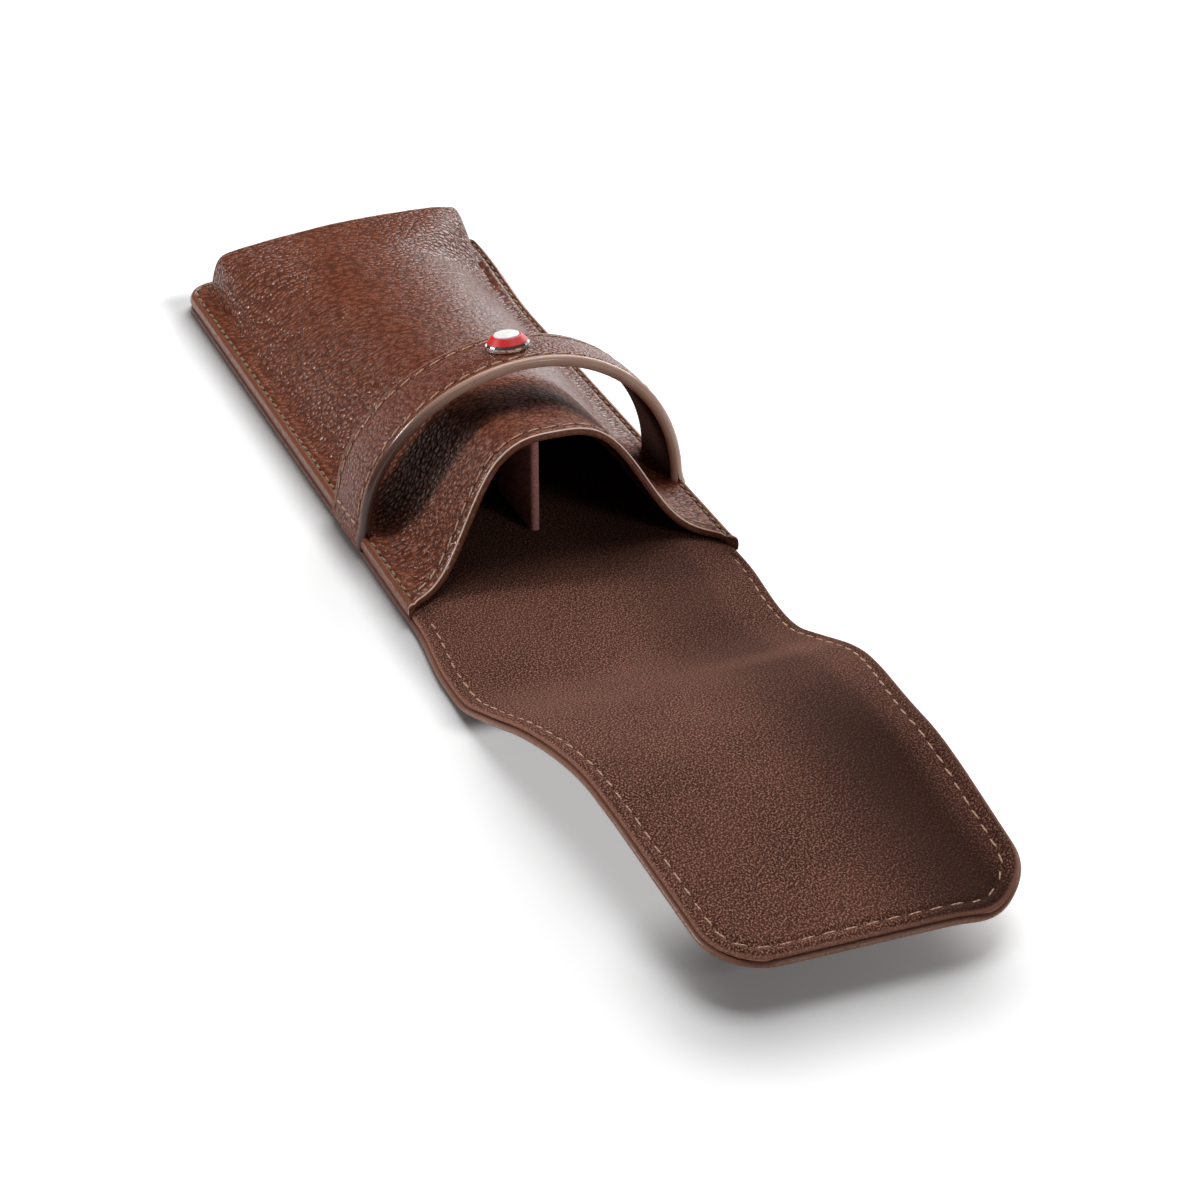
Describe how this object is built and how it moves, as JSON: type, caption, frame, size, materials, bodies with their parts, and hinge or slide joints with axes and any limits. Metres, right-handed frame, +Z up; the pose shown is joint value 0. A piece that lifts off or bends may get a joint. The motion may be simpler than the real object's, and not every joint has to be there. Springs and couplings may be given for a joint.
{
  "type": "leather pen case",
  "caption": "Slim leather pen case with a moulded pocket parted into bays, a holding strap with a riveted button, and a long suede-lined flap that folds over the mouth.",
  "frame": {"origin": "on the table, under the middle of the pocket", "axes": "+X across the case to the right, +Y along the case from the mouth to its closed end, +Z up from the table"},
  "size_m": [0.0576, 0.2407, 0.0314],
  "materials": {
    "leather": "chestnut pebble grain, semi-gloss",
    "suede": "brown suede, matt",
    "divider": "mauve-brown suede, matt",
    "strap_lining": "smooth lining with a painted edge",
    "strap_core": "pressed leather board, hidden",
    "thread": "waxed beige thread",
    "chrome": "polished",
    "red_enamel": "glossy enamel",
    "white_enamel": "glossy enamel"
  },
  "bodies": {
    "pocket": {"back_leather": "leather", "back_lining": "suede", "front_panel": "leather", "front_lining": "suede", "divider": "divider", "strap_leather": "leather", "strap_core": "strap_core", "strap_lining": "strap_lining", "button_base": "chrome", "button_red_ring": "red_enamel", "button_white_disc": "white_enamel", "button_washer": "chrome", "seam_thread_left": "thread", "seam_thread_right": "thread", "seam_thread_rear": "thread", "mouth_thread": "thread", "strap_foot_thread_left": "thread", "strap_foot_thread_right": "thread", "strap_thread_near": "thread", "strap_thread_far": "thread", "flap_root_thread_left": "thread", "flap_root_thread_right": "thread"},
    "flap_bend_1": {"flap_bend_1_leather": "leather", "flap_bend_1_lining": "suede", "flap_bend_1_thread_left": "thread", "flap_bend_1_thread_right": "thread"},
    "flap_bend_2": {"flap_bend_2_leather": "leather", "flap_bend_2_lining": "suede", "flap_bend_2_thread_left": "thread", "flap_bend_2_thread_right": "thread"},
    "flap_bend_3": {"flap_bend_3_leather": "leather", "flap_bend_3_lining": "suede", "flap_bend_3_thread_left": "thread", "flap_bend_3_thread_right": "thread"},
    "flap_bend_4": {"flap_bend_4_leather": "leather", "flap_bend_4_lining": "suede", "flap_bend_4_thread_left": "thread", "flap_bend_4_thread_right": "thread"},
    "flap_lid": {"flap_lid_leather": "leather", "flap_lid_lining": "suede", "flap_lid_thread": "thread"}
  },
  "joints": [
    {"name": "flap_fold", "type": "hinge", "parent": "pocket", "child": "flap_bend_1", "pos_m": [0, -0.0895, 0.002], "axis": [-1, 0, 0], "range_deg": [-0.9, 37]},
    {"name": "flap_fold_2", "type": "hinge", "parent": "flap_bend_1", "child": "flap_bend_2", "pos_m": [0, -0.09955, 0.00413], "axis": [-1, 0, 0], "range_deg": [-0.9, 37]},
    {"name": "flap_fold_3", "type": "hinge", "parent": "flap_bend_2", "child": "flap_bend_3", "pos_m": [0, -0.10998, 0.00772], "axis": [-1, 0, 0], "range_deg": [-0.9, 37]},
    {"name": "flap_fold_4", "type": "hinge", "parent": "flap_bend_3", "child": "flap_bend_4", "pos_m": [0, -0.12091, 0.01048], "axis": [-1, 0, 0], "range_deg": [-0.9, 37]},
    {"name": "flap_fold_5", "type": "hinge", "parent": "flap_bend_4", "child": "flap_lid", "pos_m": [0, -0.1321, 0.01172], "axis": [-1, 0, 0], "range_deg": [-0.9, 37]}
  ],
  "couplings": [
    {"joint": "flap_fold_2", "follows": "flap_fold", "ratio": 1},
    {"joint": "flap_fold_3", "follows": "flap_fold", "ratio": 1},
    {"joint": "flap_fold_4", "follows": "flap_fold", "ratio": 1},
    {"joint": "flap_fold_5", "follows": "flap_fold", "ratio": 1}
  ]
}
